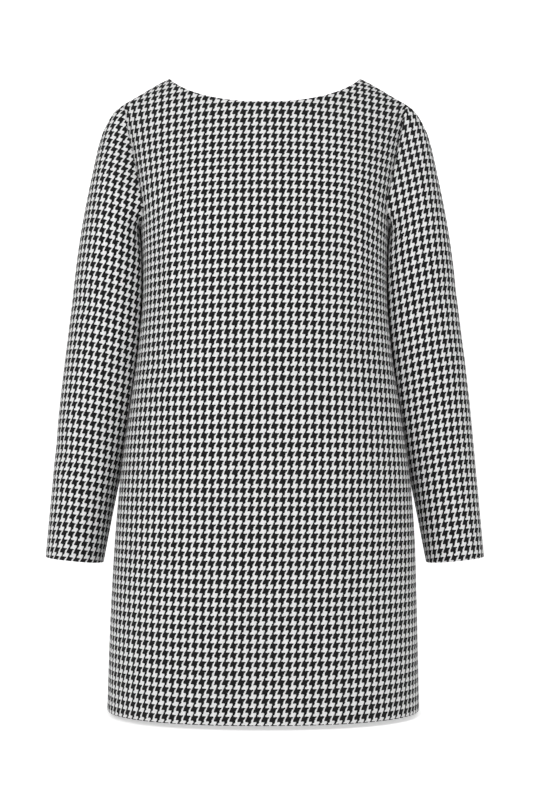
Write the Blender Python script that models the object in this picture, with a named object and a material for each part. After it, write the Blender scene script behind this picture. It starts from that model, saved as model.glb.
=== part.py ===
"""Shift dress, filled out as when worn: front, back and two set-in sleeves, each a wall of thick woven cloth.

Run it with: blender --background --python part.py

Metres, +Z up, the front faces -Y and the wearer's left is +X. The origin is midway between the two
neck points, where the shoulder seams meet the neckline and the wearer's shoulders carry the dress.
"""

import math
from collections import namedtuple

import bmesh
import bpy
import numpy as np

# ---- Cloth and seams -------------------------------------------------------------------------
CLOTH = 0.002
SEAM_GAP = 0.0003
SLEEVE_CLEARANCE = 0.0014  # between a hanging sleeve and the body that it rests against
CLEARANCE_GAIN = 0.10  # how fast that clearance opens below the underarm, metres per metre
CONTACT_SOFTNESS = 0.002  # how gradually the sleeve flattens where it meets the body

# ---- Shoulder line and yoke ------------------------------------------------------------------
UNDERARM = -0.1975
NECK_HALF = 0.1254  # half the width of the boat neck
TIP_HALF = 0.1900  # half the width from shoulder tip to shoulder tip
YOKE = 0.180  # length of the cloth from the underarm level up to the shoulder line
SPREAD_LAG = 1.2  # above 1, the yoke widens slowly at first and faster near the shoulders

ShoulderPoint = namedtuple("ShoulderPoint", "out height")
SHOULDER_LINE = (
    ShoulderPoint(0.000, 0.0260),
    ShoulderPoint(0.060, 0.0200),
    ShoulderPoint(NECK_HALF, 0.0000),
    ShoulderPoint(0.152, -0.0142),
    ShoulderPoint(0.176, -0.0281),
    ShoulderPoint(TIP_HALF, -0.0360),
    ShoulderPoint(0.200, -0.0430),
)

# ---- Body: one row for each level, hem first -------------------------------------------------
BodyLevel = namedtuple("BodyLevel", "height half_width front back squareness lean")
BODY = (
    BodyLevel(-0.8300, 0.2048, 0.1290, 0.1240, 2.20, -0.0022),
    BodyLevel(-0.7070, 0.2012, 0.1275, 0.1225, 2.22, -0.0014),
    BodyLevel(-0.5880, 0.1955, 0.1245, 0.1195, 2.26, 0.0002),
    BodyLevel(-0.5300, 0.1905, 0.1225, 0.1170, 2.28, 0.0005),
    BodyLevel(-0.4400, 0.1778, 0.1190, 0.1120, 2.28, 0.0000),
    BodyLevel(-0.3500, 0.1652, 0.1160, 0.1070, 2.28, 0.0000),
    BodyLevel(-0.2900, 0.1603, 0.1145, 0.1050, 2.30, 0.0000),
    BodyLevel(-0.2450, 0.1602, 0.1138, 0.1048, 2.32, 0.0000),
    BodyLevel(UNDERARM, 0.1625, 0.1134, 0.1050, 2.34, 0.0000),
)
HEM = BODY[0].height
YOKE_START = -0.060  # the yoke's part of the mesh starts this far below the underarm level

FRONT, BACK = -1, 1
CROWN = {FRONT: 1.62, BACK: 1.90}  # roundness of the yoke's side view: 2 is an ellipse, less is straighter

# ---- Neckline: its drop at the middle, and the two powers of the curve up to the neck points --
NECK_DROP = {FRONT: 0.0495, BACK: 0.0250}
NECK_FLATNESS, NECK_STEEPNESS = 2.3, 0.714

# ---- Armhole as the side view shows it, shoulder tip first -----------------------------------
ArmholePoint = namedtuple("ArmholePoint", "reach height")
ARMHOLE = {
    FRONT: (
        ArmholePoint(0.0000, -0.0360),
        ArmholePoint(0.0088, -0.0465),
        ArmholePoint(0.0150, -0.0720),
        ArmholePoint(0.0252, -0.1040),
        ArmholePoint(0.0336, -0.1320),
        ArmholePoint(0.0400, -0.1570),
        ArmholePoint(0.0428, -0.1740),
        ArmholePoint(0.0355, -0.1885),
        ArmholePoint(0.0190, -0.1960),
        ArmholePoint(0.0000, UNDERARM),
    ),
    BACK: (
        ArmholePoint(0.0000, -0.0360),
        ArmholePoint(0.0115, -0.0460),
        ArmholePoint(0.0215, -0.0700),
        ArmholePoint(0.0305, -0.1040),
        ArmholePoint(0.0355, -0.1320),
        ArmholePoint(0.0370, -0.1570),
        ArmholePoint(0.0350, -0.1740),
        ArmholePoint(0.0275, -0.1885),
        ArmholePoint(0.0150, -0.1960),
        ArmholePoint(0.0000, UNDERARM),
    ),
}

# ---- Sleeve: one row for each section, armhole first -----------------------------------------
# outer is where the section meets the sleeve's outer edge, inner where it faces the body.
SleeveSection = namedtuple("SleeveSection", "outer_x outer_z inner_x inner_z centre_y half_depth")
SLEEVE = (
    SleeveSection(0.1900, -0.0360, 0.1625, -0.1975, -0.0040, 0.0440),
    SleeveSection(0.2006, -0.0468, 0.1641, -0.1976, -0.0040, 0.0470),
    SleeveSection(0.2144, -0.0731, 0.1635, -0.2023, -0.0030, 0.0505),
    SleeveSection(0.2246, -0.1111, 0.1627, -0.2085, -0.0005, 0.0535),
    SleeveSection(0.2358, -0.1666, 0.1580, -0.2211, 0.0045, 0.0555),
    SleeveSection(0.2476, -0.2297, 0.1508, -0.2552, 0.0130, 0.0560),
    SleeveSection(0.2593, -0.3163, 0.1512, -0.3307, 0.0210, 0.0535),
    SleeveSection(0.2729, -0.4212, 0.1690, -0.4337, 0.0260, 0.0495),
    SleeveSection(0.2828, -0.5248, 0.1955, -0.5353, 0.0270, 0.0455),
    SleeveSection(0.2925, -0.6313, 0.2161, -0.6392, 0.0250, 0.0420),
)
SLEEVE_SQUARENESS = 2.15
CAP_SECTIONS = 4.5  # the armhole's own outline has faded out after this many rows of the table
CAP_CROWDING = 1.3  # above 1, the mesh's rings are closer together at the armhole
SEAM_ROLL_RUN, SEAM_ROLL_RISE = 0.0017, 0.0007  # the sleeve rolls over at its seam before it turns down

# ---- How finely the cloth is divided ---------------------------------------------------------
ARMHOLE_STEPS, SHOULDER_STEPS, NECK_STEPS = 12, 4, 9
SKIRT_ROWS, SIDE_ROWS, SLEEVE_RINGS = 10, 3, 21
NECK_CROWDING = 1.5  # above 1, the neckline's points are closer together at the neck points
EDGE_FADE = 1.3  # how soon the mesh's rows leave the armhole's shape, on their way to the neck point's column
FINE = 400

CLOTH_COLOUR = (0.32, 0.32, 0.33, 1.0)
CLOTH_ROUGHNESS = 0.9


# ---- Curves ----------------------------------------------------------------------------------
def smooth(keys, values, at):
    """Smooth curve through the values, at any number of places along the keys."""
    keys, values = np.asarray(keys, float), np.asarray(values, float)
    at = np.clip(np.asarray(at, float), keys[0], keys[-1])
    slopes = np.gradient(values, keys, axis=0)
    i = np.clip(np.searchsorted(keys, at, side="right") - 1, 0, len(keys) - 2)
    span = keys[i + 1] - keys[i]
    t = (at - keys[i]) / span
    if values.ndim > 1:
        span, t = span[..., None], t[..., None]
    start = (1 + 2 * t) * (1 - t) ** 2 * values[i] + t * (1 - t) ** 2 * span * slopes[i]
    return start + t**2 * (3 - 2 * t) * values[i + 1] + t**2 * (t - 1) * span * slopes[i + 1]


def resampled(points, steps, crowding=1.0):
    """The same line as steps + 1 points: at even distances, or closer at its start if crowding is over 1."""
    length = np.append(0, np.cumsum(np.linalg.norm(np.diff(points, axis=0), axis=1)))
    places = length[-1] * np.linspace(0, 1, steps + 1) ** crowding
    return np.column_stack([np.interp(places, length, points[:, k]) for k in range(points.shape[1])])


def unit(vectors):
    return vectors / np.linalg.norm(vectors, axis=-1)[..., None]


def power(value, exponent):
    """Signed power, which turns a circle's sine and cosine into a superellipse's."""
    return np.sign(value) * np.abs(value) ** exponent


# ---- The body's outer surface ----------------------------------------------------------------
def body_level(height):
    """The BODY table's columns at these heights."""
    table = np.array(BODY)
    columns = smooth(table[:, 0], table[:, 1:], height)
    return BodyLevel(height, *np.moveaxis(columns, -1, 0))


def shoulder_height(out):
    line = np.array(SHOULDER_LINE)
    return smooth(line[:, 0], line[:, 1], np.abs(out))


def body_point(face, angle, rise):
    """A point of the body. angle runs from a side seam (-90 degrees) over the middle of the face to the
    other; rise is metres below (negative) or, along the cloth of the yoke, above the underarm level."""
    level = body_level(UNDERARM + np.minimum(rise, 0))
    across = level.half_width * power(np.sin(angle), 2 / level.squareness)
    forward = level.front if face == FRONT else level.back
    depth = forward * np.abs(np.cos(angle)) ** (2 / level.squareness)
    turn = np.clip(rise / YOKE, 0, 1) * math.pi / 2
    up = np.sin(turn) ** (2 / CROWN[face])
    ridge = across * TIP_HALF / BODY[-1].half_width
    x = across + (ridge - across) * up**SPREAD_LAG + level.lean * (1 - up)
    y = face * depth * np.maximum(np.cos(turn), 0) ** (2 / CROWN[face])
    z = level.height + (shoulder_height(ridge) - UNDERARM) * up
    return np.stack([x, y, z], axis=-1)


def body_normal(face, angle, rise):
    """The direction out of the body's surface at these points. The shoulder tip, where the surface ends in
    a point, takes that of the shoulder line beside it."""
    step = 1e-3
    wide, high = math.pi / 2, YOKE
    angle = np.where(rise > YOKE - 1e-9, np.clip(angle, -0.9 * wide, 0.9 * wide), angle)
    around = body_point(face, np.minimum(angle + step, wide), rise)
    around = around - body_point(face, np.maximum(angle - step, -wide), rise)
    along = body_point(face, angle, np.minimum(rise + step * YOKE, high))
    along = along - body_point(face, angle, rise - step * YOKE)
    normal = np.cross(around, along) * -face
    return unit(normal)


def body_half_width(side, y, z):
    """How far the body's outer surface reaches out on this side, at points below the underarm."""
    level = body_level(np.minimum(z, UNDERARM))
    depth = np.where(y < 0, level.front, level.back)
    inside = np.clip(1 - np.abs(y / depth) ** level.squareness, 0, 1)
    return level.half_width * inside ** (1 / level.squareness) + side * level.lean


def even_angles(height, steps):
    """Angles from side seam to side seam that divide the body's outline at a height into even steps."""
    level = body_level(height)
    angle = np.linspace(-math.pi / 2, math.pi / 2, FINE)
    outline = np.column_stack(
        [
            level.half_width * power(np.sin(angle), 2 / level.squareness),
            level.front * np.abs(np.cos(angle)) ** (2 / level.squareness),
            angle,
        ]
    )
    length = np.append(0, np.cumsum(np.linalg.norm(np.diff(outline[:, :2], axis=0), axis=1)))
    return np.interp(np.linspace(0, length[-1], steps + 1), length, angle)


def angle_across(out):
    """The angle whose column of the body meets the shoulder line this far from the middle."""
    last = BODY[-1]
    return np.arcsin(np.clip(out / TIP_HALF, 0, 1) ** (last.squareness / 2))


def armhole_outline(face):
    """The armhole's edge on one face, shoulder tip first, as (angle, rise) pairs of body_point."""
    mirrored = [(-p.reach, p.height) for p in ARMHOLE[-face][1:4]]
    behind = [(-p.reach, p.height) for p in ARMHOLE[-face][-4:-1]]
    own = [(p.reach, p.height) for p in ARMHOLE[face]]
    loop = np.array(mirrored[::-1] + own + behind[::-1])
    count = np.arange(len(loop), dtype=float)
    first, last = len(mirrored), len(mirrored) + len(own) - 1
    reach, height = resampled(smooth(count, loop, np.linspace(first, last, FINE)), ARMHOLE_STEPS).T
    edge = BODY[-1]
    depth = edge.front if face == FRONT else edge.back
    angle = np.full(ARMHOLE_STEPS + 1, math.radians(80))
    for _ in range(30):
        ridge = TIP_HALF * np.sin(angle) ** (2 / edge.squareness)
        up = np.clip((height - UNDERARM) / (shoulder_height(ridge) - UNDERARM), 0, 1)
        turn = np.arcsin(up ** (CROWN[face] / 2))
        share = reach / (depth * np.maximum(np.cos(turn), 1e-3) ** (2 / CROWN[face]))
        angle = np.arccos(np.clip(share, 0, 1) ** (edge.squareness / 2))
    angle[[0, -1]] = math.pi / 2
    rise = turn * YOKE / (math.pi / 2)
    rise[0], rise[-1] = YOKE, 0
    return np.column_stack([angle, rise])


def neckline(face):
    """The neckline from a neck point to the middle, as (angle, rise) pairs."""
    angles = np.linspace(angle_across(NECK_HALF), 0, FINE)
    low, high = np.zeros(FINE), np.full(FINE, YOKE)
    for _ in range(40):
        middle = (low + high) / 2
        point = body_point(face, angles, middle)
        share = np.clip(np.abs(point[:, 0] / NECK_HALF), 0, 1)
        over = point[:, 2] > -NECK_DROP[face] * (1 - share**NECK_FLATNESS) ** NECK_STEEPNESS
        low, high = np.where(over, low, middle), np.where(over, middle, high)
    rise = (low + high) / 2
    rise[0] = YOKE
    points = body_point(face, angles, rise)
    return resampled(np.column_stack([points, angles, rise]), NECK_STEPS, NECK_CROWDING)[:, 3:]


def shoulder_seam():
    """The shoulder seam from tip to neck point, as (angle, rise) pairs."""
    out = np.linspace(TIP_HALF, NECK_HALF, SHOULDER_STEPS + 1)
    return np.column_stack([angle_across(out), np.full(len(out), YOKE)])


def panel_grid(face):
    """The (angle, rise) grid of a front or back: rows from the hem up, columns from side to side."""
    half = np.concatenate([shoulder_seam(), neckline(face)[1:]])
    top = np.concatenate([half * (-1, 1), half[::-1][1:]])
    steps = len(top) - 1
    rows = []
    for rise in np.linspace(HEM - UNDERARM, YOKE_START, SKIRT_ROWS + 1):
        rows.append(np.column_stack([even_angles(UNDERARM + rise, steps), np.full(steps + 1, rise)]))
    bottom = rows.pop()
    seam = np.linspace(YOKE_START, 0, SIDE_ROWS + 1)[:-1]
    seam = np.column_stack([np.full(len(seam), math.pi / 2), seam])
    right = np.concatenate([seam, armhole_outline(face)[::-1]])
    column = np.arange(steps + 1)[:, None]
    pull_left = np.clip(1 - column / SHOULDER_STEPS, 0, 1) ** EDGE_FADE
    pull_right = pull_left[::-1]
    for v, edge in zip(np.linspace(0, 1, len(right)), right):
        row = (1 - v) * bottom + v * top
        row[:, 0] = top[:, 0] + (1 - v) ** 1.5 * (bottom[:, 0] - top[:, 0])
        rows.append(row + pull_left * (edge * (-1, 1) - row[0]) + pull_right * (edge - row[-1]))
    return np.array(rows)


# ---- Sleeve's outer surface ------------------------------------------------------------------
def armhole_ring(side):
    """The armhole seam: tip, front, underarm, back. Returns its points, the body's normals there and
    the directions out of the body's cloth, longer where the seam turns so that its gap stays even."""
    points, normals = [], []
    for face, picked in ((FRONT, slice(0, ARMHOLE_STEPS + 1)), (BACK, slice(ARMHOLE_STEPS - 1, 0, -1))):
        angle, rise = armhole_outline(face)[picked].T
        points.append(body_point(face, side * angle, rise))
        normals.append(body_normal(face, side * angle, rise))
    points, normals = np.concatenate(points), np.concatenate(normals)
    ahead = unit(np.roll(points, -1, axis=0) - points)
    edge = unit(ahead + np.roll(ahead, 1, axis=0))
    away = unit(np.cross(normals, edge)) * side
    return points, normals, away / (edge * ahead).sum(axis=1)[:, None]


def sleeve_places():
    """Where along the SLEEVE table each ring lies, by the sleeve's own length."""
    table = np.array(SLEEVE)
    row = np.arange(len(table), dtype=float)
    dense = np.linspace(1, row[-1], FINE)
    middle = smooth(row, (table[:, 0:2] + table[:, 2:4]) / 2, dense)
    length = np.append(0, np.cumsum(np.linalg.norm(np.diff(middle, axis=0), axis=1)))
    return np.interp(length[-1] * np.linspace(0, 1, SLEEVE_RINGS) ** CAP_CROWDING, length, dense)


def sleeve_section(side, place, count):
    """One ring of the sleeve, at a place along the SLEEVE table."""
    row = np.arange(len(SLEEVE), dtype=float)
    section = SleeveSection(*smooth(row, np.array(SLEEVE), place))
    turn = 2 * math.pi * np.arange(count) / count
    swing = power(np.cos(turn), 2 / SLEEVE_SQUARENESS)
    x = (section.outer_x + section.inner_x) / 2 + swing * (section.outer_x - section.inner_x) / 2
    z = (section.outer_z + section.inner_z) / 2 + swing * (section.outer_z - section.inner_z) / 2
    y = section.centre_y - section.half_depth * power(np.sin(turn), 2 / SLEEVE_SQUARENESS)
    return np.column_stack([side * x, y, z])


def sleeve_grid(side):
    """The sleeve's outer surface in rings from the armhole to the cuff, and the body's normals at the seam."""
    seam, normals, away = armhole_ring(side)
    start = sleeve_section(side, 0, len(seam))
    rings = [seam + SEAM_GAP * away, seam + SEAM_ROLL_RUN * unit(away) + SEAM_ROLL_RISE * normals]
    for place in sleeve_places():
        fade = max(1 - place / CAP_SECTIONS, 0)
        fade = fade**2 * (3 - 2 * fade)
        ring = sleeve_section(side, place, len(seam)) + fade * (seam - start)
        rings.append(clear_of_body(side, ring))
    return np.array(rings), normals


def clear_of_body(side, ring):
    """A ring of the sleeve, flattened where it would otherwise cut into the body beside it."""
    x, y, z = ring.T
    below = UNDERARM - z
    clearance = np.minimum(SEAM_GAP + CLEARANCE_GAIN * below, SLEEVE_CLEARANCE)
    limit = body_half_width(side, y, z) + clearance
    out = side * x
    eased = (out + limit + np.sqrt((out - limit) ** 2 + CONTACT_SOFTNESS**2)) / 2
    ease_in = np.clip(below / 0.01, 0, 1)
    x = side * np.where(below > 0, out + (eased - out) * ease_in, out)
    return np.column_stack([x, y, z])


# ---- Solids ----------------------------------------------------------------------------------
def ring_normals(rings):
    """Outward normals of a tube's rings of points."""
    around = np.roll(rings, -1, axis=1) - np.roll(rings, 1, axis=1)
    return unit(np.cross(around, np.gradient(rings, axis=0)))


def across_shorter(a, b, c, d):
    """Two triangles for four corners, split along the shorter diagonal."""
    if (a.co - c.co).length < (b.co - d.co).length:
        return (a, b, c), (a, c, d)
    return (a, b, d), (b, c, d)


def cloth_object(name, outer, inner, closed, material):
    """A closed wall between two grids of points, joined along every free edge."""
    rows, columns = outer.shape[:2]
    mesh = bmesh.new()
    outside = [[mesh.verts.new(p) for p in row] for row in outer]
    inside = [[mesh.verts.new(p) for p in row] for row in inner]
    partner = {o: i for row_o, row_i in zip(outside, inside) for o, i in zip(row_o, row_i)}
    steps = columns if closed else columns - 1
    for r in range(rows - 1):
        for c in range(steps):
            d = (c + 1) % columns
            corners = outside[r][c], outside[r][d], outside[r + 1][d], outside[r + 1][c]
            for triangle in across_shorter(*corners):
                mesh.faces.new(triangle)
                mesh.faces.new([partner[corner] for corner in triangle[::-1]])
    rims = [outside[0][::-1], outside[-1]]
    if closed:
        rims = [rim + rim[:1] for rim in rims]
    else:
        rims += [[row[0] for row in outside], [row[-1] for row in outside[::-1]]]
    for rim in rims:
        for start, end in zip(rim, rim[1:]):
            for triangle in across_shorter(start, end, partner[end], partner[start]):
                mesh.faces.new(triangle)
    data = bpy.data.meshes.new(name)
    mesh.to_mesh(data)
    mesh.free()
    data.materials.append(material)
    data.shade_smooth()
    data.set_sharp_from_angle(angle=math.radians(50))
    made = bpy.data.objects.new(name, data)
    bpy.context.scene.collection.objects.link(made)


def make_panel(name, face, material):
    """The front or the back, half a seam gap away from its neighbour at the side and shoulder seams."""
    angle, rise = np.moveaxis(panel_grid(face), -1, 0)
    if face == BACK:
        angle, rise = angle[:, ::-1], rise[:, ::-1]
    outer = body_point(face, angle, rise) + (0, face * SEAM_GAP / 2, 0)
    inner = outer - CLOTH * body_normal(face, angle, rise)
    cloth_object(name, outer, inner, closed=False, material=material)


def make_sleeve(name, side, material):
    """A set-in sleeve from the armhole to the cuff."""
    outer, seam_normals = sleeve_grid(side)
    normals = ring_normals(outer) * side
    normals[0] = seam_normals
    inner = outer - CLOTH * normals
    cloth_object(name, outer[:, ::side], inner[:, ::side], closed=True, material=material)


def cloth_material():
    made = bpy.data.materials.new("check_cloth")
    made.use_nodes = True
    shader = made.node_tree.nodes["Principled BSDF"]
    shader.inputs["Base Color"].default_value = CLOTH_COLOUR
    shader.inputs["Roughness"].default_value = CLOTH_ROUGHNESS
    shader.inputs["Metallic"].default_value = 0.0
    return made


def main():
    for obj in list(bpy.data.objects):
        bpy.data.objects.remove(obj)
    material = cloth_material()
    make_panel("front", FRONT, material)
    make_panel("back", BACK, material)
    make_sleeve("sleeve_left", 1, material)
    make_sleeve("sleeve_right", -1, material)


main()
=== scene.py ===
"""Shift dress in a black and off-white houndstooth check, filled out as when worn.

Metres, +Z up, the front faces -Y and the wearer's left is +X. The four cut pieces follow in the order in
which a maker would lay them down: front, back and the two sleeves. Floor, lights and camera come last.
"""

import math
from collections import namedtuple

import bpy
import numpy as np
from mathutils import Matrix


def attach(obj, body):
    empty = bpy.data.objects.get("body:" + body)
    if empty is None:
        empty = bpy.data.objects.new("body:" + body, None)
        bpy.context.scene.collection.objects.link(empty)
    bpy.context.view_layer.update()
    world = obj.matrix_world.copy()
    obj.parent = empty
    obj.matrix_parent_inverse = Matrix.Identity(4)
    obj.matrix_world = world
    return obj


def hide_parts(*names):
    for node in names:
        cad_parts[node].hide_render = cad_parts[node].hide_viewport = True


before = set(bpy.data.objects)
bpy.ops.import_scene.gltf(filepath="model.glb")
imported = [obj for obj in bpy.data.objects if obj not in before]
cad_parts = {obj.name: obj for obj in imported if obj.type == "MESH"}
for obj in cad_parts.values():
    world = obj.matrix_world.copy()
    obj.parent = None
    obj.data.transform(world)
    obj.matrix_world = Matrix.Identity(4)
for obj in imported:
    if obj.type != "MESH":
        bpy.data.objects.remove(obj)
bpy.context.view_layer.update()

# ---- Front --------------------------------------------------------------------------------------
# One cut piece of thick, soft cloth from side seam to side seam and from the hem up to both shoulders.
# It hangs from the shoulder line, rounds over the chest and falls as a slightly flared skirt.
# Hem and neckline are turned in and stitched blind; the seams are pressed open on the inside.
UNDERARM = -0.1975
NECK_HALF = 0.1254
TIP_HALF = 0.1900
YOKE = 0.180
SPREAD_LAG = 1.2
FRONT_SIDE, BACK_SIDE = -1, 1
CROWN = {FRONT_SIDE: 1.62, BACK_SIDE: 1.90}
NECK_DROP = {FRONT_SIDE: 0.0495, BACK_SIDE: 0.0250}
NECK_FLATNESS, NECK_STEEPNESS = 2.3, 0.714
NECK_CROWDING, EDGE_FADE, COLUMN_EASE = 1.5, 1.3, 1.5
TIP_SHARE = 0.9  # how far towards a shoulder tip the direction out of the cloth is followed

ShoulderPoint = namedtuple("ShoulderPoint", "out height")
SHOULDER_LINE = (
    ShoulderPoint(0.000, 0.0260),
    ShoulderPoint(0.060, 0.0200),
    ShoulderPoint(NECK_HALF, 0.0000),
    ShoulderPoint(0.152, -0.0142),
    ShoulderPoint(0.176, -0.0281),
    ShoulderPoint(TIP_HALF, -0.0360),
    ShoulderPoint(0.200, -0.0430),
)

BodyLevel = namedtuple("BodyLevel", "height half_width front back squareness lean")
BODY = (
    BodyLevel(-0.8300, 0.2048, 0.1290, 0.1240, 2.20, -0.0022),
    BodyLevel(-0.7070, 0.2012, 0.1275, 0.1225, 2.22, -0.0014),
    BodyLevel(-0.5880, 0.1955, 0.1245, 0.1195, 2.26, 0.0002),
    BodyLevel(-0.5300, 0.1905, 0.1225, 0.1170, 2.28, 0.0005),
    BodyLevel(-0.4400, 0.1778, 0.1190, 0.1120, 2.28, 0.0000),
    BodyLevel(-0.3500, 0.1652, 0.1160, 0.1070, 2.28, 0.0000),
    BodyLevel(-0.2900, 0.1603, 0.1145, 0.1050, 2.30, 0.0000),
    BodyLevel(-0.2450, 0.1602, 0.1138, 0.1048, 2.32, 0.0000),
    BodyLevel(UNDERARM, 0.1625, 0.1134, 0.1050, 2.34, 0.0000),
)
HEM = BODY[0].height
YOKE_START = -0.060

ArmholePoint = namedtuple("ArmholePoint", "reach height")
ARMHOLE = {
    FRONT_SIDE: (
        ArmholePoint(0.0000, -0.0360),
        ArmholePoint(0.0088, -0.0465),
        ArmholePoint(0.0150, -0.0720),
        ArmholePoint(0.0252, -0.1040),
        ArmholePoint(0.0336, -0.1320),
        ArmholePoint(0.0400, -0.1570),
        ArmholePoint(0.0428, -0.1740),
        ArmholePoint(0.0355, -0.1885),
        ArmholePoint(0.0190, -0.1960),
        ArmholePoint(0.0000, UNDERARM),
    ),
    BACK_SIDE: (
        ArmholePoint(0.0000, -0.0360),
        ArmholePoint(0.0115, -0.0460),
        ArmholePoint(0.0215, -0.0700),
        ArmholePoint(0.0305, -0.1040),
        ArmholePoint(0.0355, -0.1320),
        ArmholePoint(0.0370, -0.1570),
        ArmholePoint(0.0350, -0.1740),
        ArmholePoint(0.0275, -0.1885),
        ArmholePoint(0.0150, -0.1960),
        ArmholePoint(0.0000, UNDERARM),
    ),
}

# How finely the cloth is divided.
ARMHOLE_STEPS, SHOULDER_STEPS, NECK_STEPS = 56, 26, 54
SKIRT_ROWS, SIDE_ROWS = 132, 14
FINE = 600


def smooth(keys, values, at):
    """Smooth curve through the values, at any number of places along the keys."""
    keys, values = np.asarray(keys, float), np.asarray(values, float)
    at = np.clip(np.asarray(at, float), keys[0], keys[-1])
    slopes = np.gradient(values, keys, axis=0)
    i = np.clip(np.searchsorted(keys, at, side="right") - 1, 0, len(keys) - 2)
    span = keys[i + 1] - keys[i]
    t = (at - keys[i]) / span
    if values.ndim > 1:
        span, t = span[..., None], t[..., None]
    start = (1 + 2 * t) * (1 - t) ** 2 * values[i] + t * (1 - t) ** 2 * span * slopes[i]
    return start + t**2 * (3 - 2 * t) * values[i + 1] + t**2 * (t - 1) * span * slopes[i + 1]


def resampled(points, steps, crowding=1.0):
    """The same line as steps + 1 points, closer together at its start if crowding is over 1."""
    length = np.append(0, np.cumsum(np.linalg.norm(np.diff(points, axis=0), axis=1)))
    places = length[-1] * np.linspace(0, 1, steps + 1) ** crowding
    return np.column_stack([np.interp(places, length, points[:, k]) for k in range(points.shape[1])])


def unit(vectors):
    return vectors / np.maximum(np.linalg.norm(vectors, axis=-1)[..., None], 1e-12)


def power(value, exponent):
    """Signed power, which turns a circle's sine and cosine into a superellipse's."""
    return np.sign(value) * np.abs(value) ** exponent


def body_level(height):
    """The BODY table's columns at these heights."""
    table = np.array(BODY)
    columns = smooth(table[:, 0], table[:, 1:], height)
    return BodyLevel(height, *np.moveaxis(columns, -1, 0))


def shoulder_height(out):
    line = np.array(SHOULDER_LINE)
    return smooth(line[:, 0], line[:, 1], np.abs(out))


def body_point(face, angle, rise):
    """A point of the body. angle runs from a side seam (-90 degrees) over the middle of the face to the
    other; rise is metres below (negative) or, along the cloth of the yoke, above the underarm level."""
    level = body_level(UNDERARM + np.minimum(rise, 0))
    across = level.half_width * power(np.sin(angle), 2 / level.squareness)
    forward = level.front if face == FRONT_SIDE else level.back
    depth = forward * np.abs(np.cos(angle)) ** (2 / level.squareness)
    turn = np.clip(rise / YOKE, 0, 1) * math.pi / 2
    up = np.sin(turn) ** (2 / CROWN[face])
    ridge = across * TIP_HALF / BODY[-1].half_width
    x = across + (ridge - across) * up**SPREAD_LAG + level.lean * (1 - up)
    y = face * depth * np.maximum(np.cos(turn), 0) ** (2 / CROWN[face])
    z = level.height + (shoulder_height(ridge) - UNDERARM) * up
    return np.stack([x, y, z], axis=-1)


def body_normal(face, angle, rise):
    """The direction out of the body's surface. The shoulder tip takes that of the line beside it."""
    step = 1e-3
    wide, high = math.pi / 2, YOKE
    angle = np.where(rise > YOKE - 1e-9, np.clip(angle, -TIP_SHARE * wide, TIP_SHARE * wide), angle)
    around = body_point(face, np.minimum(angle + step, wide), rise)
    around = around - body_point(face, np.maximum(angle - step, -wide), rise)
    along = body_point(face, angle, np.minimum(rise + step * YOKE, high))
    along = along - body_point(face, angle, rise - step * YOKE)
    return unit(np.cross(around, along) * -face)


def even_angles(height, steps):
    """Angles from side seam to side seam that divide the body's outline at a height into even steps."""
    level = body_level(height)
    angle = np.linspace(-math.pi / 2, math.pi / 2, FINE)
    across = level.half_width * power(np.sin(angle), 2 / level.squareness)
    forward = level.front * np.abs(np.cos(angle)) ** (2 / level.squareness)
    length = np.append(0, np.cumsum(np.hypot(np.diff(across), np.diff(forward))))
    return np.interp(np.linspace(0, length[-1], steps + 1), length, angle)


def angle_across(out):
    """The angle whose column of the body meets the shoulder line this far from the middle."""
    return np.arcsin(np.clip(out / TIP_HALF, 0, 1) ** (BODY[-1].squareness / 2))


def armhole_outline(face):
    """The armhole's edge on one face, shoulder tip first, as (angle, rise) pairs of body_point."""
    mirrored = [(-p.reach, p.height) for p in ARMHOLE[-face][1:4]]
    behind = [(-p.reach, p.height) for p in ARMHOLE[-face][-4:-1]]
    own = [(p.reach, p.height) for p in ARMHOLE[face]]
    loop = np.array(mirrored[::-1] + own + behind[::-1])
    count = np.arange(len(loop), dtype=float)
    first, last = len(mirrored), len(mirrored) + len(own) - 1
    reach, height = resampled(smooth(count, loop, np.linspace(first, last, FINE)), ARMHOLE_STEPS).T
    edge = BODY[-1]
    depth = edge.front if face == FRONT_SIDE else edge.back
    angle = np.full(ARMHOLE_STEPS + 1, math.radians(80))
    for _ in range(60):
        ridge = TIP_HALF * np.sin(angle) ** (2 / edge.squareness)
        up = np.clip((height - UNDERARM) / (shoulder_height(ridge) - UNDERARM), 0, 1)
        turn = np.arcsin(up ** (CROWN[face] / 2))
        share = reach / (depth * np.maximum(np.cos(turn), 1e-3) ** (2 / CROWN[face]))
        angle = np.arccos(np.clip(share, 0, 1) ** (edge.squareness / 2))
    angle[[0, -1]] = math.pi / 2
    rise = turn * YOKE / (math.pi / 2)
    rise[0], rise[-1] = YOKE, 0
    return np.column_stack([angle, rise])


def neckline(face):
    """The neckline from a neck point to the middle, as (angle, rise) pairs."""
    angles = np.linspace(angle_across(NECK_HALF), 0, FINE)
    low, high = np.zeros(FINE), np.full(FINE, YOKE)
    for _ in range(40):
        middle = (low + high) / 2
        point = body_point(face, angles, middle)
        share = np.clip(np.abs(point[:, 0] / NECK_HALF), 0, 1)
        over = point[:, 2] > -NECK_DROP[face] * (1 - share**NECK_FLATNESS) ** NECK_STEEPNESS
        low, high = np.where(over, low, middle), np.where(over, middle, high)
    rise = (low + high) / 2
    rise[0] = YOKE
    points = body_point(face, angles, rise)
    return resampled(np.column_stack([points, angles, rise]), NECK_STEPS, NECK_CROWDING)[:, 3:]


def shoulder_seam():
    """The shoulder seam from tip to neck point, as (angle, rise) pairs."""
    out = np.linspace(TIP_HALF, NECK_HALF, SHOULDER_STEPS + 1)
    return np.column_stack([angle_across(out), np.full(len(out), YOKE)])


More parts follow.
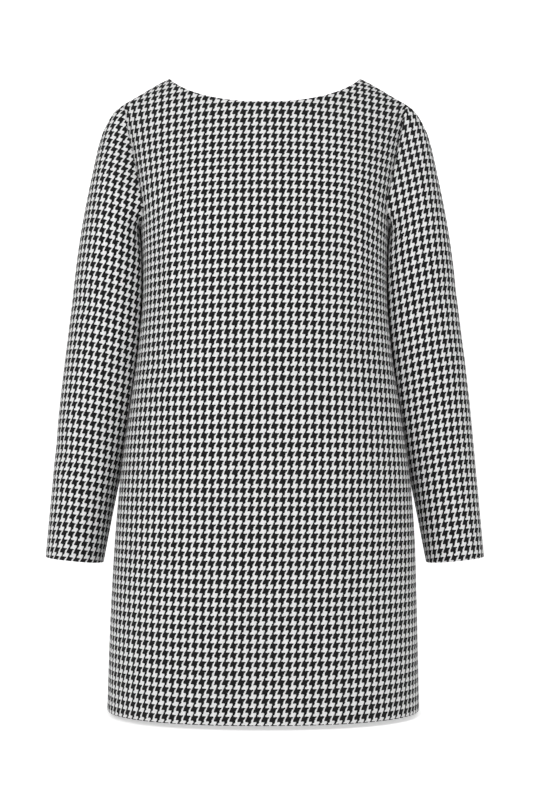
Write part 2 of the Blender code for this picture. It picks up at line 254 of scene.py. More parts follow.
def panel_grid(face):
    """The (angle, rise) grid of a front or back: rows from the hem up, columns from side to side."""
    half = np.concatenate([shoulder_seam(), neckline(face)[1:]])
    top = np.concatenate([half * (-1, 1), half[::-1][1:]])
    steps = len(top) - 1
    rows = []
    for rise in np.linspace(HEM - UNDERARM, YOKE_START, SKIRT_ROWS + 1):
        rows.append(np.column_stack([even_angles(UNDERARM + rise, steps), np.full(steps + 1, rise)]))
    bottom = rows.pop()
    seam = np.linspace(YOKE_START, 0, SIDE_ROWS + 1)[:-1]
    seam = np.column_stack([np.full(len(seam), math.pi / 2), seam])
    right = np.concatenate([seam, armhole_outline(face)[::-1]])
    column = np.arange(steps + 1)[:, None]
    pull_left = np.clip(1 - column / SHOULDER_STEPS, 0, 1) ** EDGE_FADE
    pull_right = pull_left[::-1]
    for v, edge in zip(np.linspace(0, 1, len(right)), right):
        row = (1 - v) * bottom + v * top
        row[:, 0] = top[:, 0] + (1 - v) ** COLUMN_EASE * (bottom[:, 0] - top[:, 0])
        rows.append(row + pull_left * (edge * (-1, 1) - row[0]) + pull_right * (edge - row[-1]))
    return np.array(rows)


# How much the cloth is eased at the waist and up the chest: the check's share of its full height, by
# metres up the warp from the underarm level, lowest first.
ChestEase = namedtuple("ChestEase", "up share")
CHEST_EASE = (
    ChestEase(-0.300, 1.000),
    ChestEase(-0.270, 0.975),
    ChestEase(-0.235, 0.935),
    ChestEase(-0.200, 0.935),
    ChestEase(-0.175, 0.985),
    ChestEase(-0.130, 1.020),
    ChestEase(-0.050, 1.020),
    ChestEase(-0.010, 1.020),
    ChestEase(0.030, 1.065),
    ChestEase(0.065, 1.065),
    ChestEase(0.095, 1.010),
    ChestEase(0.120, 0.920),
    ChestEase(0.150, 0.870),
    ChestEase(0.200, 0.950),
    ChestEase(0.260, 1.000),
)
# Below the armholes the rows of the check drop a little towards the side seams, from this far out on.
DROP_START, DROP_RUN = 0.09, 0.10
SideDrop = namedtuple("SideDrop", "side height spread amount")
SIDE_DROPS = (
    SideDrop(-1, -0.190, 0.040, 0.011),
    SideDrop(1, -0.215, 0.060, 0.012),
)


# How far the check's repeat sits off the middle of the cloth and off the underarm level.
CHECK_OFFSET = (0.0026, 0.0052)


def flat_place(face, angle, rise, samples=40):
    """Where a point of the body lies on the cloth before it was sewn: metres out from the middle along
    the row of the weave, and metres up from the underarm level along the warp."""
    out, up = np.zeros_like(angle), np.zeros_like(angle)
    for k in range(samples):
        a, b = k / samples, (k + 1) / samples
        step = body_point(face, b * angle, rise) - body_point(face, a * angle, rise)
        out += np.hypot(step[..., 0], step[..., 1])
        step = body_point(face, angle, b * rise) - body_point(face, angle, a * rise)
        up += np.where(rise > 0, np.linalg.norm(step, axis=-1), np.abs(step[..., 2]))
    out, up = out * np.sign(angle), up * np.sign(rise)
    table = np.array(CHEST_EASE)
    ladder = np.linspace(table[0, 0], table[-1, 0], FINE)
    share = smooth(table[:, 0], table[:, 1], ladder)
    gained = np.append(0, np.cumsum((share[1:] + share[:-1]) / 2 * np.diff(ladder))) + ladder[0]
    up = np.where(up > ladder[0], np.interp(up, ladder, gained), up)
    height = body_point(face, angle, rise)[..., 2]
    for drop in SIDE_DROPS:
        beside = np.clip((out * drop.side - DROP_START) / DROP_RUN, 0, 1)
        near = np.exp(-(((height - drop.height) / drop.spread) ** 2))
        up = up + drop.amount * beside**2 * (3 - 2 * beside) * near
    return np.stack([out, up], axis=-1) + CHECK_OFFSET


# A soft trough (depth below zero) or ridge in the hanging cloth, from one place to another. Its depth
# follows half a wave, cut short by END_CUT of its length at each end so that it doesn't fade to nothing.
END_CUT, FADE_POWER = 0.08, 0.8
Crease = namedtuple("Crease", "from_across from_height to_across to_height width depth")


def crease_relief(creases, place):
    """How far each point of the cloth is pushed out by the creases, with soft ends and soft sides."""
    relief = np.zeros(place.shape[:-1])
    for c in creases:
        start = np.array([c.from_across, c.from_height])
        run = np.array([c.to_across, c.to_height]) - start
        along = np.clip(((place - start) @ run) / (run @ run), 0, 1)
        away = np.linalg.norm(place - (start + along[..., None] * run), axis=-1)
        fade = np.sin(math.pi * (along * (1 - 2 * END_CUT) + END_CUT)) ** FADE_POWER
        relief += c.depth * fade * np.exp(-((away / c.width) ** 2))
    return relief


FRONT_CREASES = (
    Crease(-0.155, -0.372, -0.085, -0.425, 0.018, -0.0022),
    Crease(-0.145, -0.405, -0.080, -0.452, 0.015, 0.0014),
    Crease(-0.092, -0.380, 0.086, -0.386, 0.013, -0.0016),
    Crease(0.150, -0.335, 0.095, -0.390, 0.020, -0.0018),
    Crease(0.170, -0.668, 0.055, -0.705, 0.020, -0.0018),
    Crease(0.145, -0.708, 0.050, -0.735, 0.018, 0.0010),
    Crease(-0.104, -0.035, -0.098, -0.115, 0.010, -0.0012),
    Crease(-0.128, -0.200, -0.118, -0.350, 0.012, 0.0022),
    Crease(0.130, -0.205, 0.121, -0.345, 0.013, 0.0020),
)

CLOTH_THICKNESS = 0.0011
HEM_TURN, NECK_TURN, SEAM_TURN = 0.0270, 0.0220, 0.0110
FOLD_DEPTH, SEAM_DEPTH = 0.0028, 0.0023
FOLD_REACH, SEAM_REACH = 0.0011, 0.0008
SEAM_GAP = 0.0003


def turned_edge(grid, normal, place, reach, depth, turn):
    """The rows that fold a piece's first row under: a rounded fold, then the turned-in cloth. reach and
    depth are the fold's size along and into the cloth; turn is how far the cloth is turned in."""
    outward = unit(grid[0] - grid[1])
    flat_out = unit(place[0] - place[1])
    edge = grid[0].copy()
    grid[0] = edge - reach * outward
    points, places, length = [], [], 0.0
    for fold in np.radians((36, 72, 108, 144, 180)):
        under = depth / 2 * (1 - math.cos(fold)) * normal[0]
        points.append(grid[0] + reach * math.sin(fold) * outward - under)
        length += math.pi * (reach + depth / 2) / 10
        places.append(place[0] + length * flat_out)
    inside, k = 0.0, 1
    while inside < turn and k < len(grid) - 1:
        inside += float(np.linalg.norm(grid[k + 1] - grid[k], axis=-1).mean())
        points.append(grid[k] - depth * normal[k])
        places.append(place[0] + (length + inside) * flat_out)
        k += 1
    return np.array(points[::-1]), np.array(places[::-1])


def sewn_piece(name, grid, normal, place, edges):
    """A cut piece of cloth with all its edges turned under. For the first and last row and the first and
    last column, edges names the fold's reach and depth and how far the cloth is turned in."""
    grid, normal = grid.copy(), normal.copy()
    first = turned_edge(grid, normal, place, *edges["first_row"])
    last = turned_edge(grid[::-1], normal[::-1], place[::-1], *edges["last_row"])
    left = turned_edge(
        grid.transpose(1, 0, 2),
        normal.transpose(1, 0, 2),
        place.transpose(1, 0, 2),
        *edges["first_column"],
    )
    right = turned_edge(
        grid[:, ::-1].transpose(1, 0, 2),
        normal[:, ::-1].transpose(1, 0, 2),
        place[:, ::-1].transpose(1, 0, 2),
        *edges["last_column"],
    )
    rows, columns = grid.shape[:2]
    above, below = len(first[0]), len(last[0])
    before, after = len(left[0]), len(right[0])
    shape = (above + rows + below, before + columns + after)
    points = np.full(shape + (3,), np.nan)
    places = np.full(shape + (2,), np.nan)
    middle_rows, middle_columns = slice(above, above + rows), slice(before, before + columns)
    for target, first_part, main, last_part, left_part, right_part in (
        (points, first[0], grid, last[0], left[0], right[0]),
        (places, first[1], place, last[1], left[1], right[1]),
    ):
        target[:above, middle_columns] = first_part
        target[middle_rows, middle_columns] = main
        target[above + rows :, middle_columns] = last_part[::-1]
        target[middle_rows, :before] = left_part.transpose(1, 0, 2)
        target[middle_rows, before + columns :] = right_part[::-1].transpose(1, 0, 2)
    seam_roll = 5
    hem_rows = slice(above, above + edges["first_row_cover"])
    neck_rows = slice(above + rows - edges["last_row_cover"], above + rows)
    for covered in (hem_rows, neck_rows):
        points[covered, : before - seam_roll] = np.nan
        points[covered, before + columns + seam_roll :] = np.nan
    used = ~np.isnan(points[..., 0])
    index = np.full(shape, -1)
    index[used] = np.arange(used.sum())
    corners = np.stack([index[:-1, :-1], index[:-1, 1:], index[1:, 1:], index[1:, :-1]], axis=-1)
    corners = corners[(corners >= 0).all(axis=-1)]
    data = bpy.data.meshes.new(name)
    data.from_pydata(points[used].tolist(), [], corners.tolist())
    cloth_uv = data.uv_layers.new(name="cloth")
    corner_vertices = np.zeros(len(data.loops), int)
    data.loops.foreach_get("vertex_index", corner_vertices)
    cloth_uv.data.foreach_set("uv", places[used][corner_vertices].ravel())
    piece = bpy.data.objects.new(name, data)
    bpy.context.scene.collection.objects.link(piece)
    bpy.ops.object.select_all(action="DESELECT")
    bpy.context.view_layer.objects.active = piece
    piece.select_set(True)
    wall = piece.modifiers.new("wall", "SOLIDIFY")
    wall.thickness = CLOTH_THICKNESS
    wall.offset = -1
    bpy.ops.object.modifier_apply(modifier="wall")
    bpy.ops.object.shade_smooth_by_angle(angle=math.radians(55))
    return piece


def math_node(tree, operation, *inputs):
    """A Math node on these sockets and numbers. Returns its output."""
    node = tree.nodes.new("ShaderNodeMath")
    node.operation = operation
    for socket, value in zip(node.inputs, inputs):
        if isinstance(value, bpy.types.NodeSocket):
            tree.links.new(value, socket)
        else:
            socket.default_value = value
    return node.outputs[0]


def noise_node(tree, vector, scale, detail, roughness=0.5):
    node = tree.nodes.new("ShaderNodeTexNoise")
    node.inputs["Scale"].default_value = scale
    node.inputs["Detail"].default_value = detail
    node.inputs["Roughness"].default_value = roughness
    tree.links.new(vector, node.inputs["Vector"])
    return node


def mix_colours(tree, share, first, second):
    node = tree.nodes.new("ShaderNodeMix")
    node.data_type = "RGBA"
    for socket, value in zip((node.inputs[0], node.inputs[6], node.inputs[7]), (share, first, second)):
        if isinstance(value, bpy.types.NodeSocket):
            tree.links.new(value, socket)
        else:
            socket.default_value = value
    return node.outputs[2]


# The check's chart: one repeat is a dark star on a light ground, sixteen ends wide and as many picks high.
# Each pick, from the top down, is dark from its left to its right place, both counted in ends.
THREADS = 16
StarPick = namedtuple("StarPick", "left right")
STAR = (
    StarPick(3.5, 16.5),
    StarPick(3.0, 16.5),
    StarPick(2.5, 16.0),
    StarPick(2.0, 14.5),
    StarPick(1.5, 14.0),
    StarPick(1.0, 13.5),
    StarPick(0.5, 13.0),
    StarPick(0.5, 12.5),
    StarPick(0.5, 12.5),
    StarPick(6.5, 12.5),
    StarPick(6.5, 12.0),
    StarPick(6.5, 11.5),
    StarPick(6.0, 10.5),
    StarPick(5.5, 9.0),
    StarPick(5.0, 9.0),
    StarPick(4.5, 9.0),
)


def chart_curve(tree, place, values):
    """A Float Curve node that gives each pick of the chart its own value."""
    node = tree.nodes.new("ShaderNodeFloatCurve")
    tree.links.new(place, node.inputs["Value"])
    points = node.mapping.curves[0].points
    points[0].location, points[1].location = (0.0, values[0]), (1.0, values[-1])
    for pick, value in enumerate(values):
        points.new((pick + 0.5) / THREADS, value)
    for point in points:
        point.handle_type = "VECTOR"
    node.mapping.update()
    return node.outputs[0]


def houndstooth_weave():
    """Node group of the check: the share of dark yarn by the chart above, the relief of the threads in a
    two-and-two twill, and the fuzz of the fibres."""
    tree = bpy.data.node_groups.new("houndstooth_weave", "ShaderNodeTree")
    for name, kind in (
        ("Cloth Place", "NodeSocketVector"),
        ("Repeat Width", "NodeSocketFloat"),
        ("Repeat Height", "NodeSocketFloat"),
        ("Wander", "NodeSocketFloat"),
    ):
        tree.interface.new_socket(name, in_out="INPUT", socket_type=kind)
    for name in ("Dark Yarn", "Relief", "Fuzz"):
        tree.interface.new_socket(name, in_out="OUTPUT", socket_type="NodeSocketFloat")
    given = tree.nodes.new("NodeGroupInput")
    made = tree.nodes.new("NodeGroupOutput")
    place = tree.nodes.new("ShaderNodeSeparateXYZ")
    tree.links.new(given.outputs["Cloth Place"], place.inputs[0])
    wander = noise_node(tree, given.outputs["Cloth Place"], 420, 2)
    bend = tree.nodes.new("ShaderNodeSeparateColor")
    tree.links.new(wander.outputs["Color"], bend.inputs[0])
    threads = []
    for axis, size in ((0, "Repeat Width"), (1, "Repeat Height")):
        repeats = math_node(tree, "DIVIDE", place.outputs[axis], given.outputs[size])
        shift = math_node(tree, "SUBTRACT", bend.outputs[axis], 0.5)
        shift = math_node(tree, "MULTIPLY", shift, given.outputs["Wander"])
        threads.append(math_node(tree, "MULTIPLY_ADD", repeats, float(THREADS), shift))
    end, pick = threads
    pick_middle = math_node(tree, "ADD", math_node(tree, "FLOOR", pick), 0.5)
    pick_up = math_node(tree, "FRACT", math_node(tree, "DIVIDE", pick_middle, float(THREADS)))
    pick_down = math_node(tree, "SUBTRACT", 1.0, pick_up)
    middle = chart_curve(tree, pick_down, [(star.left + star.right) / 2 / THREADS for star in STAR])
    half = chart_curve(tree, pick_down, [(star.right - star.left) / 2 / THREADS for star in STAR])
    away = math_node(tree, "SUBTRACT", math_node(tree, "DIVIDE", end, float(THREADS)), middle)
    away = math_node(tree, "FRACT", math_node(tree, "ADD", away, 0.5))
    away = math_node(tree, "ABSOLUTE", math_node(tree, "SUBTRACT", away, 0.5))
    dark = math_node(tree, "LESS_THAN", away, half)
    step = math_node(tree, "SUBTRACT", math_node(tree, "FLOOR", end), math_node(tree, "FLOOR", pick))
    end_over = math_node(tree, "LESS_THAN", math_node(tree, "FLOORED_MODULO", step, 4.0), 1.5)
    pick_over = math_node(tree, "SUBTRACT", 1.0, end_over)
    crowns = []
    for thread in threads:
        within = math_node(tree, "FRACT", thread)
        crowns.append(math_node(tree, "SINE", math_node(tree, "MULTIPLY", within, math.pi)))
    relief = math_node(tree, "MULTIPLY", end_over, crowns[0])
    relief = math_node(tree, "MULTIPLY_ADD", pick_over, crowns[1], relief)
    fibres = noise_node(tree, given.outputs["Cloth Place"], 2600, 3, 0.7)
    tree.links.new(dark, made.inputs["Dark Yarn"])
    tree.links.new(relief, made.inputs["Relief"])
    tree.links.new(fibres.outputs["Fac"], made.inputs["Fuzz"])
    return tree


REPEAT_WIDTH, REPEAT_HEIGHT = 0.00973, 0.01120
FUZZ_CONTRAST, MOTTLE_CONTRAST = 0.9, 0.6


def woven_cloth(name):
    """The dress's cloth: soft matte yarn, near black and off-white, with a faint mottle and nap."""
    material = bpy.data.materials.new(name)
    material.use_nodes = True
    tree = material.node_tree
    shader = tree.nodes["Principled BSDF"]
    shader.inputs["Metallic"].default_value = 0.0
    shader.inputs["Sheen Weight"].default_value = 0.03
    shader.inputs["Sheen Roughness"].default_value = 0.5
    shader.inputs["Specular IOR Level"].default_value = 0.12
    uv = tree.nodes.new("ShaderNodeUVMap")
    uv.uv_map = "cloth"
    weave = tree.nodes.new("ShaderNodeGroup")
    weave.node_tree = bpy.data.node_groups.get("houndstooth_weave") or houndstooth_weave()
    weave.inputs["Repeat Width"].default_value = REPEAT_WIDTH
    weave.inputs["Repeat Height"].default_value = REPEAT_HEIGHT
    weave.inputs["Wander"].default_value = 2.5
    tree.links.new(uv.outputs["UV"], weave.inputs["Cloth Place"])
    mottle = noise_node(tree, uv.outputs["UV"], 190, 3, 0.6)
    fuzz = math_node(tree, "SUBTRACT", weave.outputs["Fuzz"], 0.5)
    patch = math_node(tree, "SUBTRACT", mottle.outputs["Fac"], 0.5)
    lift = math_node(tree, "MULTIPLY", fuzz, FUZZ_CONTRAST)
    lift = math_node(tree, "MULTIPLY_ADD", patch, MOTTLE_CONTRAST, lift)
    share = math_node(tree, "ADD", lift, 0.5)
    light = mix_colours(tree, share, (0.48, 0.48, 0.48, 1.0), (0.87, 0.87, 0.87, 1.0))
    dark = mix_colours(tree, share, (0.002, 0.002, 0.002, 1.0), (0.018, 0.018, 0.0185, 1.0))
    yarn = mix_colours(tree, weave.outputs["Dark Yarn"], light, dark)
    tree.links.new(yarn, shader.inputs["Base Color"])
    rough = math_node(tree, "MULTIPLY_ADD", weave.outputs["Fuzz"], 0.16, 0.80)
    tree.links.new(rough, shader.inputs["Roughness"])
    height = math_node(tree, "MULTIPLY_ADD", weave.outputs["Fuzz"], 0.5, weave.outputs["Relief"])
    bump = tree.nodes.new("ShaderNodeBump")
    bump.inputs["Strength"].default_value = 0.5
    bump.inputs["Distance"].default_value = 0.0002
    tree.links.new(height, bump.inputs["Height"])
    tree.links.new(bump.outputs["Normal"], shader.inputs["Normal"])
    return material


cloth = woven_cloth("houndstooth_cloth")


def make_panel(name, face, creases):
    """The front or the back, half a seam gap away from its neighbour at the side and shoulder seams."""
    angle, rise = np.moveaxis(panel_grid(face), -1, 0)
    place = flat_place(face, angle, rise)
    normal = body_normal(face, angle, rise)
    grid = body_point(face, angle, rise) + (0, face * SEAM_GAP / 2, 0)
    hang = np.stack([place[..., 0], grid[..., 2]], axis=-1)
    grid = grid + crease_relief(creases, hang)[..., None] * normal
    if face == BACK_SIDE:
        grid, normal, place = grid[:, ::-1], normal[:, ::-1], place[:, ::-1] * (-1, 1)
    edges = {
        "first_row": (FOLD_REACH, FOLD_DEPTH, HEM_TURN),
        "last_row": (FOLD_REACH, FOLD_DEPTH, NECK_TURN),
        "first_column": (SEAM_REACH, SEAM_DEPTH, SEAM_TURN),
        "last_column": (SEAM_REACH, SEAM_DEPTH, SEAM_TURN),
        "first_row_cover": 7,
        "last_row_cover": 7,
    }
    piece = sewn_piece(name, grid, normal, place, edges)
    piece.data.materials.append(cloth)
    return piece


front_cloth = make_panel("front_cloth", FRONT_SIDE, FRONT_CREASES)
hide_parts("front")
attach(front_cloth, "root")

# ---- Back ---------------------------------------------------------------------------------------
# The second cut piece, like the front but flatter and with a shallower neckline. It is sewn to the
# front along both sides and both shoulders, with the seams pressed open inside.
BACK_CREASES = (
    Crease(-0.140, -0.330, -0.050, -0.372, 0.022, -0.0022),
    Crease(0.145, -0.345, 0.040, -0.380, 0.024, -0.0020),
    Crease(-0.085, -0.405, 0.070, -0.412, 0.022, 0.0014),
    Crease(-0.132, -0.205, -0.116, -0.345, 0.013, 0.0020),
    Crease(0.128, -0.200, 0.119, -0.350, 0.012, 0.0022),
    Crease(-0.060, -0.600, -0.110, -0.650, 0.024, -0.0014),
)

back_cloth = make_panel("back_cloth", BACK_SIDE, BACK_CREASES)
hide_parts("back")
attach(back_cloth, "root")

# ---- Sleeves ------------------------------------------------------------------------------------
# Two long set-in sleeves, each one cut piece joined along a seam under the arm. The rounded cap is
# sewn into the armhole. It hangs close beside the body and a little behind it; the cuff is turned in.
SLEEVE_CLEARANCE, CLEARANCE_GAIN, CONTACT_SOFTNESS = 0.0014, 0.10, 0.002
SleeveSection = namedtuple("SleeveSection", "outer_x outer_z inner_x inner_z centre_y half_depth")
SLEEVE = (
    SleeveSection(0.1900, -0.0360, 0.1625, -0.1975, -0.0040, 0.0440),
    SleeveSection(0.2006, -0.0468, 0.1641, -0.1976, -0.0040, 0.0470),
    SleeveSection(0.2144, -0.0731, 0.1635, -0.2023, -0.0030, 0.0505),
    SleeveSection(0.2246, -0.1111, 0.1627, -0.2085, -0.0005, 0.0535),
    SleeveSection(0.2358, -0.1666, 0.1580, -0.2211, 0.0045, 0.0555),
    SleeveSection(0.2476, -0.2297, 0.1508, -0.2552, 0.0130, 0.0560),
    SleeveSection(0.2593, -0.3163, 0.1512, -0.3307, 0.0210, 0.0535),
    SleeveSection(0.2729, -0.4212, 0.1690, -0.4337, 0.0260, 0.0495),
    SleeveSection(0.2828, -0.5248, 0.1955, -0.5353, 0.0270, 0.0455),
    SleeveSection(0.2925, -0.6313, 0.2161, -0.6392, 0.0250, 0.0420),
)
SLEEVE_SQUARENESS = 2.15
CAP_SECTIONS, CAP_CROWDING, FIRST_SECTION = 4.5, 1.3, 0.12
CONTACT_START = 0.01
SLEEVE_RINGS = 150


def armhole_ring(side):
    """The armhole seam: tip, front, underarm, back. Returns its points, the body's normals there and
    the directions out of the body's cloth, longer where the seam turns so that its gap stays even."""
    points, normals = [], []
    halves = ((FRONT_SIDE, slice(0, ARMHOLE_STEPS + 1)), (BACK_SIDE, slice(ARMHOLE_STEPS - 1, 0, -1)))
    for face, picked in halves:
        angle, rise = armhole_outline(face)[picked].T
        points.append(body_point(face, side * angle, rise))
        normals.append(body_normal(face, side * angle, rise))
    points, normals = np.concatenate(points), np.concatenate(normals)
    ahead = unit(np.roll(points, -1, axis=0) - points)
    edge = unit(ahead + np.roll(ahead, 1, axis=0))
    away = unit(np.cross(normals, edge)) * side
    return points, normals, away / (edge * ahead).sum(axis=1)[:, None]


def body_half_width(side, y, z):
    """How far the body's outer surface reaches out on this side, at points below the underarm."""
    level = body_level(np.minimum(z, UNDERARM))
    depth = np.where(y < 0, level.front, level.back)
    inside = np.clip(1 - np.abs(y / depth) ** level.squareness, 0, 1)
    return level.half_width * inside ** (1 / level.squareness) + side * level.lean


def clear_of_body(side, ring):
    """A ring of the sleeve, flattened where it would otherwise cut into the body beside it."""
    x, y, z = ring.T
    below = UNDERARM - z
    clearance = np.minimum(SEAM_GAP + CLEARANCE_GAIN * below, SLEEVE_CLEARANCE)
    limit = body_half_width(side, y, z) + clearance
    out = side * x
    eased = (out + limit + np.sqrt((out - limit) ** 2 + CONTACT_SOFTNESS**2)) / 2
    ease_in = np.clip(below / CONTACT_START, 0, 1)
    x = side * np.where(below > 0, out + (eased - out) * ease_in, out)
    return np.column_stack([x, y, z])


def sleeve_places():
    """Where along the SLEEVE table each ring lies, by the sleeve's own length."""
    table = np.array(SLEEVE)
    row = np.arange(len(table), dtype=float)
    dense = np.linspace(FIRST_SECTION, row[-1], FINE)
    middle = smooth(row, (table[:, 0:2] + table[:, 2:4]) / 2, dense)
    length = np.append(0, np.cumsum(np.linalg.norm(np.diff(middle, axis=0), axis=1)))
    return np.interp(length[-1] * np.linspace(0, 1, SLEEVE_RINGS) ** CAP_CROWDING, length, dense)


def sleeve_section(side, place, count):
    """One ring of the sleeve, at a place along the SLEEVE table."""
    row = np.arange(len(SLEEVE), dtype=float)
    section = SleeveSection(*smooth(row, np.array(SLEEVE), place))
    turn = 2 * math.pi * np.arange(count) / count
    swing = power(np.cos(turn), 2 / SLEEVE_SQUARENESS)
    x = (section.outer_x + section.inner_x) / 2 + swing * (section.outer_x - section.inner_x) / 2
    z = (section.outer_z + section.inner_z) / 2 + swing * (section.outer_z - section.inner_z) / 2
    y = section.centre_y - section.half_depth * power(np.sin(turn), 2 / SLEEVE_SQUARENESS)
    return np.column_stack([side * x, y, z])


def sleeve_grid(side):
    """The sleeve's outer surface in rings from the armhole down, and the body's normals at the seam."""
    seam, normals, away = armhole_ring(side)
    start = sleeve_section(side, 0, len(seam))
    rings = [seam + SEAM_GAP * away]
    for place in sleeve_places():
        fade = max(1 - place / CAP_SECTIONS, 0)
        fade = fade**2 * (3 - 2 * fade)
        ring = sleeve_section(side, place, len(seam)) + fade * (seam - start)
        rings.append(clear_of_body(side, ring))
    return np.array(rings), normals


# The check runs straight across the sleeve: how much its rows climb towards the sleeve's outer side, and
# how much its columns lean away from the sleeve's outer line.
SleeveRow = namedtuple("SleeveRow", "height climb lean")
SLEEVE_ROWS = (
    SleeveRow(-0.6300, 0.10, 0.00),
    SleeveRow(-0.5300, 0.12, 0.00),
    SleeveRow(-0.4300, 0.16, 0.02),
    SleeveRow(-0.3300, 0.21, 0.00),
    SleeveRow(-0.2500, 0.25, -0.02),
    SleeveRow(-0.2000, 0.28, 0.10),
    SleeveRow(-0.1600, 0.32, 0.29),
    SleeveRow(-0.1200, 0.34, 0.49),
    SleeveRow(-0.0700, 0.36, 0.45),
    SleeveRow(0.0000, 0.36, 0.30),
)
SLEEVE_EASE = 1.05
BACKWARD_DROP = 0.10
STRAIGHT_FROM, LINE_BEYOND = 1.5, 0.15


def sleeve_place(side, rings):
    """Where the sleeve's points lie on its cut piece: metres round from its outer line, metres up."""
    table = np.array(SLEEVE)
    middle = (table[:, 0:2] + table[:, 2:4]) / 2
    centre = np.column_stack([middle, table[:, 4]])
    row = np.arange(len(table), dtype=float)
    line = smooth(row, centre, np.linspace(STRAIGHT_FROM, row[-1], FINE))[::-1]
    slope = (line[-1] - line[-60]) / (line[-1, 1] - line[-60, 1])
    line = np.vstack([line, line[-1] + slope * LINE_BEYOND])
    climb = np.array(SLEEVE_ROWS)
    length = np.append(0, np.cumsum(np.linalg.norm(np.diff(line, axis=0), axis=1)))
    level = rings[..., 2].copy()
    for _ in range(40):
        out = np.interp(level, line[:, 1], line[:, 0])
        forward = np.interp(level, line[:, 1], line[:, 2])
        tilt = np.interp(level, climb[:, 0], climb[:, 1])
        level = rings[..., 2] - tilt * (side * rings[..., 0] - out)
        level = level + BACKWARD_DROP * (rings[..., 1] - forward)
    below = np.minimum(level - line[0, 1], 0)
    up = np.interp(level, line[:, 1], length) + below
    count = rings.shape[1]
    around = np.zeros_like(up)
    for direction in (1, -1):
        for j in range(1, count // 2 + 1):
            now, before = (direction * j) % count, (direction * (j - 1)) % count
            order = slice(None, None, -1)
            foot = np.column_stack(
                [np.interp(up[:, now], up[order, before], rings[order, before, k]) for k in range(3)]
            )
            reached = np.interp(up[:, now], up[order, before], around[order, before])
            across = np.linalg.norm(rings[:, now] - foot, axis=-1)
            if direction == -1 and j == count // 2:
                behind = reached - across
            else:
                around[:, now] = reached + direction * across
    ladder = np.linspace(climb[0, 0], climb[-1, 0], FINE)
    lean = smooth(climb[:, 0], climb[:, 2], ladder)
    shift = np.append(0, np.cumsum((lean[1:] + lean[:-1]) / 2 * np.diff(ladder)))
    shift = np.interp(level, ladder, shift)
    return around + shift, up, behind + shift[:, count // 2]


def make_sleeve(name, side, creases, check_offset):
    """A set-in sleeve from the cuff up to the armhole, open along its seam under the arm."""
    rings, seam_normals = sleeve_grid(side)
    around = np.roll(rings, -1, axis=1) - np.roll(rings, 1, axis=1)
    normal = unit(np.cross(around, np.gradient(rings, axis=0))) * side
    normal[0] = unit(normal[1] + seam_normals)
    under = ARMHOLE_STEPS
    out, up, behind = sleeve_place(side, rings)
    rings, normal, out, up = (np.roll(a, -under, axis=1) for a in (rings, normal, out, up))
    rings, normal, out, up = (np.concatenate([a, a[:, :1]], axis=1) for a in (rings, normal, out, up))
    out[:, 0] = behind
    place = np.stack([out * -side * SLEEVE_EASE, up], axis=-1) + check_offset
    grid = rings + crease_relief(creases, place)[..., None] * normal
    grid, normal, place = grid[::-1], normal[::-1], place[::-1]
    if side == 1:
        grid, normal, place = grid[:, ::-1], normal[:, ::-1], place[:, ::-1]
    edges = {
        "first_row": (FOLD_REACH, FOLD_DEPTH, HEM_TURN),
        "last_row": (SEAM_REACH, SEAM_DEPTH, SEAM_TURN),
        "first_column": (SEAM_REACH, SEAM_DEPTH, SEAM_TURN),
        "last_column": (SEAM_REACH, SEAM_DEPTH, SEAM_TURN),
        "first_row_cover": 7,
        "last_row_cover": 3,
    }
    piece = sewn_piece(name, grid, normal, place, edges)
    piece.data.materials.append(cloth)
    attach(piece, "root")
    return piece


LEFT_CREASES = (
    Crease(-0.020, 0.345, -0.105, 0.315, 0.014, -0.0020),
    Crease(-0.030, 0.300, -0.108, 0.284, 0.012, -0.0014),
    Crease(-0.015, 0.255, -0.090, 0.236, 0.014, 0.0010),
    Crease(-0.120, 0.455, -0.075, 0.405, 0.012, -0.0016),
    Crease(0.020, 0.330, 0.110, 0.300, 0.016, -0.0020),
    Crease(0.035, 0.278, 0.100, 0.262, 0.013, -0.0012),
)
RIGHT_CREASES = (
    Crease(0.010, 0.150, 0.080, 0.115, 0.014, -0.0018),
    Crease(0.020, 0.112, 0.072, 0.086, 0.012, 0.0010),
    Crease(0.025, 0.335, 0.105, 0.310, 0.014, -0.0018),
    Crease(0.120, 0.450, 0.082, 0.398, 0.012, -0.0014),
    Crease(-0.020, 0.330, -0.110, 0.300, 0.016, -0.0020),
    Crease(-0.030, 0.385, -0.095, 0.366, 0.013, -0.0012),
)

left_sleeve = make_sleeve("sleeve_left_cloth", 1, LEFT_CREASES, (0.0013, -0.0039))
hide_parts("sleeve_left")
right_sleeve = make_sleeve("sleeve_right_cloth", -1, RIGHT_CREASES, (-0.0026, -0.0013))
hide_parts("sleeve_right")

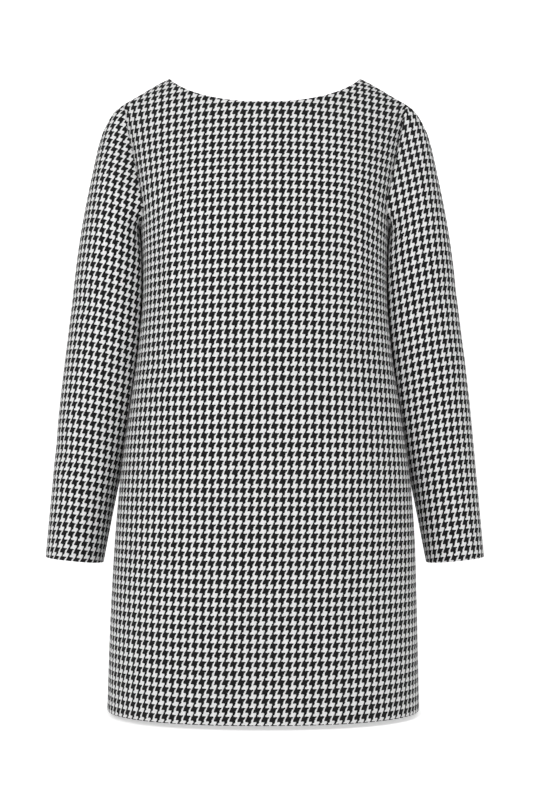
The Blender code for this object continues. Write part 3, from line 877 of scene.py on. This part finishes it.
# ---- Floor, light and camera --------------------------------------------------------------------
# A plain white sweep under and behind the dress, and large soft lights in front and overhead.
FLOOR = HEM - 0.006
SWEEP_WIDTH, SWEEP_LENGTH, SWEEP_FRONT = 14, 12, -5
CURVE_START, CURVE_RADIUS = 2.2, 1.5
bpy.ops.mesh.primitive_grid_add(x_subdivisions=4, y_subdivisions=60, size=1, location=(0, 0, 0))
sweep = bpy.context.object
sweep.name = "white_sweep"
for vertex in sweep.data.vertices:
    along = (vertex.co.y + 0.5) * SWEEP_LENGTH + SWEEP_FRONT
    bend = max(along - CURVE_START, 0)
    turn = min(bend / CURVE_RADIUS, math.pi / 2)
    rise = CURVE_RADIUS * (1 - math.cos(turn)) + max(bend - CURVE_RADIUS * math.pi / 2, 0)
    y = min(along, CURVE_START) + CURVE_RADIUS * math.sin(turn)
    vertex.co = (vertex.co.x * SWEEP_WIDTH, y, FLOOR + rise)
white = bpy.data.materials.new("white_paper")
white.use_nodes = True
paper = white.node_tree.nodes["Principled BSDF"]
paper.inputs["Base Color"].default_value = (0.95, 0.95, 0.95, 1.0)
paper.inputs["Roughness"].default_value = 0.9
paper.inputs["Emission Color"].default_value = (1.0, 1.0, 1.0, 1.0)
paper.inputs["Emission Strength"].default_value = 0.53
sweep.data.materials.append(white)
bpy.ops.object.shade_smooth()

world = bpy.data.worlds.new("studio")
world.use_nodes = True
world.node_tree.nodes["Background"].inputs["Color"].default_value = (1.0, 1.0, 1.0, 1.0)
world.node_tree.nodes["Background"].inputs["Strength"].default_value = 0.31
bpy.context.scene.world = world
bpy.context.scene.view_settings.view_transform = "Standard"

MIDDLE_HEIGHT = -0.42
SoftLight = namedtuple("SoftLight", "name x y z size power")
for lamp in (
    SoftLight("key_light", -0.9, -2.4, 0.9, 1.2, 37),
    SoftLight("fill_light", 0.5, -2.1, 1.5, 1.4, 5),
    SoftLight("top_light", 0.6, -0.7, 2.1, 2.0, 17),
):
    bpy.ops.object.light_add(type="AREA", location=(lamp.x, lamp.y, lamp.z))
    light = bpy.context.object
    light.name = lamp.name
    light.data.size = lamp.size
    light.data.energy = lamp.power
    aim = (-lamp.x, -lamp.y, MIDDLE_HEIGHT - lamp.z)
    yaw = math.atan2(aim[1], aim[0]) - math.pi / 2
    pitch = math.atan2(aim[2], math.hypot(aim[0], aim[1])) + math.pi / 2
    light.rotation_euler = (pitch, 0, yaw)

camera_data = bpy.data.cameras.new("camera")
camera = bpy.data.objects.new("camera", camera_data)
bpy.context.scene.collection.objects.link(camera)
camera.location = (0.0, -1.75, -0.529)
camera.rotation_euler = (math.radians(90), 0.0, 0.0)
camera_data.lens = 59.7
camera_data.shift_x = 0.0021
camera_data.shift_y = 0.1
bpy.context.scene.camera = camera
